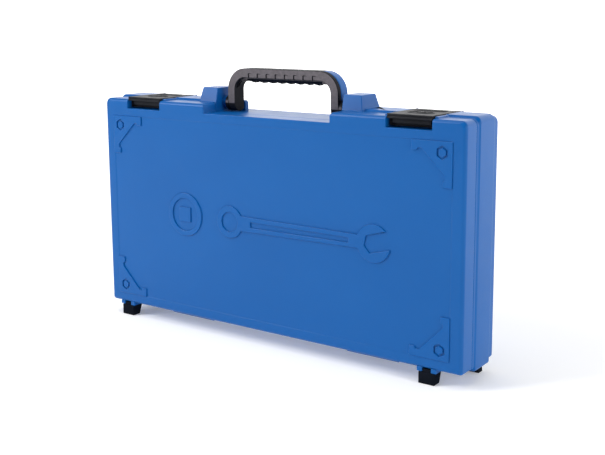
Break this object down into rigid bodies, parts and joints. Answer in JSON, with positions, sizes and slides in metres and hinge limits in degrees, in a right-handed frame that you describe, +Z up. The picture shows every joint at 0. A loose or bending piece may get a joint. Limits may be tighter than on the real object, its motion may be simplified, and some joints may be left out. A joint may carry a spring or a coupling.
{
  "type": "socket wrench set in case",
  "caption": "Half-inch socket wrench set in a hard plastic carrying case with a hinged lid, snap latches, folding handle and moulded tool tray.",
  "frame": {"origin": "middle of the footprint, at the bottom of the feet", "axes": "+X to the right along the case, +Y back through its depth (the lid faces -Y), +Z up towards the handle"},
  "size_m": [0.422, 0.062, 0.266],
  "materials": {
    "case_blue": "fine-grained moulded plastic, satin",
    "grip_black": "soft satin black",
    "latch_black": "satin black",
    "foot_black": "satin black",
    "pin_steel": "plain steel wire",
    "pad_foam": "closed-cell foam",
    "tray_grey": "moulded, matt",
    "chrome": "chrome-vanadium steel, satin chrome",
    "tool_steel": "ground steel",
    "ratchet_black": "moulded grip"
  },
  "bodies": {
    "case": {"base_shell": "case_blue", "extension_bar_125": "chrome", "extension_bar_250": "chrome", "extension_bar_75": "chrome", "handle_pin_left": "pin_steel", "handle_pin_right": "pin_steel", "hinge_pin_left": "pin_steel", "hinge_pin_right": "pin_steel", "latch_pin_left": "pin_steel", "latch_pin_right": "pin_steel", "plug_socket_16mm": "chrome", "plug_socket_21mm": "chrome", "ratchet_body": "chrome", "ratchet_cover": "chrome", "ratchet_grip": "ratchet_black", "rear_foot_left": "foot_black", "rear_foot_right": "foot_black", "socket_10mm": "chrome", "socket_11mm": "chrome", "socket_12mm": "chrome", "socket_13mm": "chrome", "socket_14mm": "chrome", "socket_15mm": "chrome", "socket_16mm": "chrome", "socket_17mm": "chrome", "socket_18mm": "chrome", "socket_19mm": "chrome", "socket_21mm": "chrome", "socket_22mm": "chrome", "socket_24mm": "chrome", "socket_27mm": "chrome", "socket_30mm": "chrome", "socket_32mm": "chrome", "t_bar": "chrome", "tool_tray": "tray_grey", "universal_socket_yoke": "chrome"},
    "lid": {"lid_shell": "case_blue", "lid_pad": "pad_foam", "front_foot_left": "foot_black", "front_foot_right": "foot_black"},
    "latch_left": {"latch_left": "latch_black"},
    "latch_right": {"latch_right": "latch_black"},
    "handle": {"handle_frame": "case_blue", "handle_grip": "grip_black"},
    "ratchet_drive": {"ratchet_gear": "tool_steel"},
    "ratchet_reverser": {"ratchet_lever": "ratchet_black", "ratchet_pawl": "tool_steel"},
    "ratchet_release": {"ratchet_button": "chrome"},
    "t_head": {"t_bar_head": "chrome"},
    "universal_centre": {"universal_cross": "tool_steel"},
    "universal_drive": {"universal_drive_yoke": "chrome"}
  },
  "joints": [
    {"name": "lid_hinge", "type": "hinge", "parent": "case", "child": "lid", "pos_m": [0, -0.0115, 0.0097], "axis": [1, 0, 0], "range_deg": [0, 180]},
    {"name": "latch_left_pivot", "type": "hinge", "parent": "case", "child": "latch_left", "pos_m": [-0.1554, 0.0252, 0.2309], "axis": [-1, 0, 0], "range_deg": [0, 95]},
    {"name": "latch_right_pivot", "type": "hinge", "parent": "case", "child": "latch_right", "pos_m": [0.1554, 0.0252, 0.2309], "axis": [-1, 0, 0], "range_deg": [0, 95]},
    {"name": "handle_fold", "type": "hinge", "parent": "case", "child": "handle", "pos_m": [0, 0.005, 0.2316], "axis": [1, 0, 0], "range_deg": [0, 90]},
    {"name": "ratchet_spin", "type": "hinge", "parent": "case", "child": "ratchet_drive", "pos_m": [-0.178, 0, 0.194], "axis": [0, 1, 0], "continuous": true},
    {"name": "reverser_turn", "type": "hinge", "parent": "case", "child": "ratchet_reverser", "pos_m": [-0.156, 0, 0.194], "axis": [0, -1, 0], "range_deg": [0, 48]},
    {"name": "release_press", "type": "slide", "parent": "case", "child": "ratchet_release", "axis": [0, 1, 0], "range_m": [0, 0.002], "stiffness_N_per_m": 300, "springref_m": -0.003},
    {"name": "t_head_slide", "type": "slide", "parent": "case", "child": "t_head", "axis": [1, 0, 0], "range_m": [-0.1, 0.1]},
    {"name": "universal_swing", "type": "hinge", "parent": "case", "child": "universal_centre", "pos_m": [0.172, 0.0035, 0.108], "axis": [0, 1, 0], "range_deg": [-30, 30]},
    {"name": "universal_tilt", "type": "hinge", "parent": "universal_centre", "child": "universal_drive", "pos_m": [0.172, 0.0035, 0.108], "axis": [1, 0, 0], "range_deg": [-10, 10]}
  ]
}
